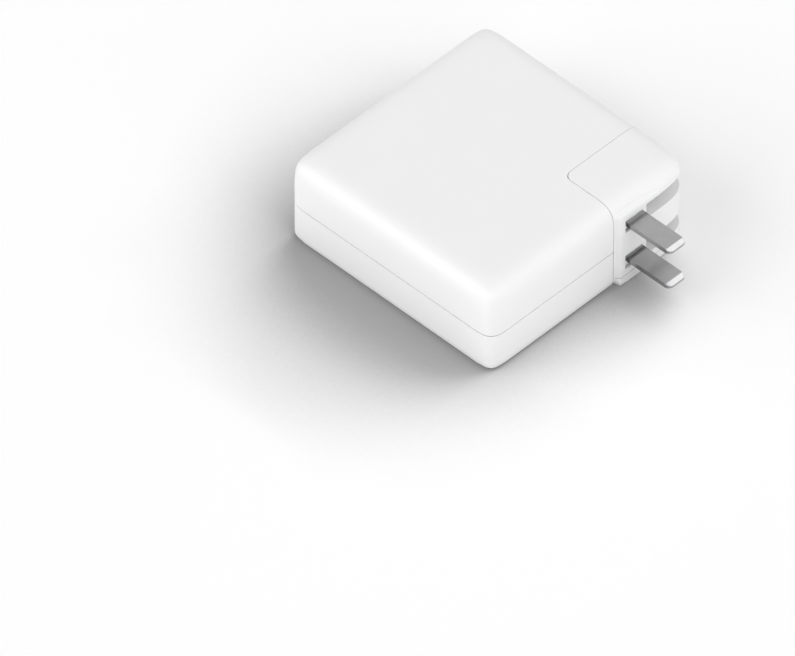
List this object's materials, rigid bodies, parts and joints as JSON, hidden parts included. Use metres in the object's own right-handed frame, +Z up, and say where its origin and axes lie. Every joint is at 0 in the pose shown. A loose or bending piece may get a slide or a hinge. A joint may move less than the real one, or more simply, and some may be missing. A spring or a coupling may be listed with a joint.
{
  "type": "laptop power adapter",
  "caption": "Square white mains power adapter with rounded edges, a USB-C port and a removable corner plug whose flat blades fold into slots.",
  "frame": {"origin": "centre of the housing's flat underside", "axes": "+Z up out of the roof, +X the way the blades point, +Y towards the side that the blades fold to; the USB-C port faces -X"},
  "size_m": [0.0904, 0.074, 0.0285],
  "materials": {
    "white_case": "smooth satin-gloss white",
    "white_carrier": "satin off-white",
    "blade_steel": "fine brushed, pale bevelled tips",
    "port_steel": "drawn steel",
    "stud_steel": "polished steel",
    "pin_nickel": "nickel plated",
    "contact_brass": "bright brass",
    "contact_gold": "gold plated",
    "clip_steel": "spring steel",
    "socket_plastic": "matt pale insulating plastic",
    "tongue_plastic": "matt black",
    "board_green": "solder-masked glass fibre",
    "component_black": "moulded epoxy",
    "fuse_ceramic": "glazed ceramic",
    "disc_blue": "dipped coating",
    "capacitor_yellow": "moulded box",
    "ferrite": "sintered ferrite",
    "copper_wire": "enamelled copper",
    "capacitor_sleeve": "shrunk sleeve",
    "capacitor_can": "plain can",
    "heat_sink": "bent sheet",
    "bobbin_plastic": "moulded bobbin",
    "tape_yellow": "polyester tape",
    "film_amber": "thin amber film",
    "pad_grey": "soft gap pad"
  },
  "bodies": {
    "housing": {"upper_shell": "white_case", "lower_shell": "white_case", "main_board": "board_green", "control_board": "board_green", "usb_board": "board_green", "usb_port_shell": "port_steel", "usb_port_tongue": "tongue_plastic", "usb_port_contacts": "contact_gold", "inlet_socket": "socket_plastic", "inlet_pins": "pin_nickel", "inlet_leads": "contact_brass", "mounting_stud": "stud_steel", "ground_strap": "contact_brass", "fuse": "fuse_ceramic", "varistor": "disc_blue", "x_capacitor": "capacitor_yellow", "choke_core": "ferrite", "choke_windings": "copper_wire", "bridge_rectifier": "component_black", "bulk_capacitors": "capacitor_sleeve", "primary_transistor": "component_black", "primary_heat_sink": "heat_sink", "transformer_core": "ferrite", "transformer_bobbin": "bobbin_plastic", "transformer_winding": "tape_yellow", "y_capacitor": "disc_blue", "optocoupler": "component_black", "rectifier_transistor": "component_black", "secondary_heat_sink": "heat_sink", "output_capacitors": "capacitor_can", "controller_chips": "component_black", "upper_heat_spreader": "heat_sink", "lower_heat_spreader": "heat_sink", "insulating_film": "film_amber", "thermal_pad": "pad_grey"},
    "plug": {"plug_shell": "white_case", "plug_cover": "white_case", "plug_nose": "socket_plastic", "socket_contacts": "contact_brass", "stud_clip": "clip_steel", "blade_contacts": "contact_brass", "detent_spring": "clip_steel"},
    "blades": {"blade_carrier": "white_carrier", "upper_blade": "blade_steel", "lower_blade": "blade_steel"}
  },
  "joints": [
    {"name": "plug_slide", "type": "slide", "parent": "housing", "child": "plug", "axis": [1, 0, 0], "range_m": [0, 0.03]},
    {"name": "blade_fold", "type": "hinge", "parent": "plug", "child": "blades", "pos_m": [0.0325, 0.0158, 0.0145], "axis": [0, 0, 1], "range_deg": [0, 90]}
  ]
}
